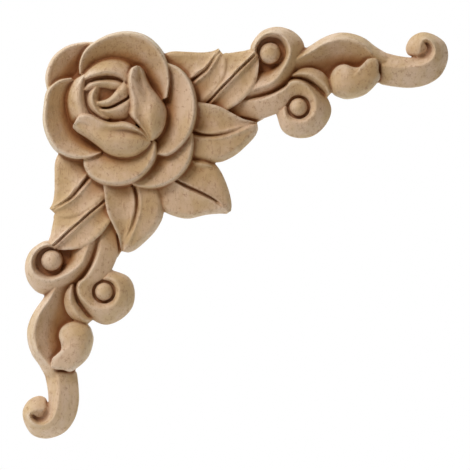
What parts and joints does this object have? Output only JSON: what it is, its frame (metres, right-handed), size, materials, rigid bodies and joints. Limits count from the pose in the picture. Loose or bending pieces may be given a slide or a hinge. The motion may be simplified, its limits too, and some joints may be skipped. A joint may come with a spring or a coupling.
{
  "type": "wooden corner onlay",
  "caption": "Flat-backed carved wooden corner onlay: a rose on the corner with leaves and scrolls running out along both edges.",
  "frame": {"origin": "on the flat back, behind the centre of the rose at the corner", "axes": "+X along the first arm, -Z along the second arm, +Y out of the flat back into the surface it is fixed to; the carved face looks along -Y"},
  "size_m": [0.1, 0.012, 0.1],
  "materials": {
    "carved_wood": "bare, sanded, unstained pale wood, darker in the carved creases"
  },
  "bodies": {
    "root": {"corner_onlay": "carved_wood"}
  },
  "joints": []
}
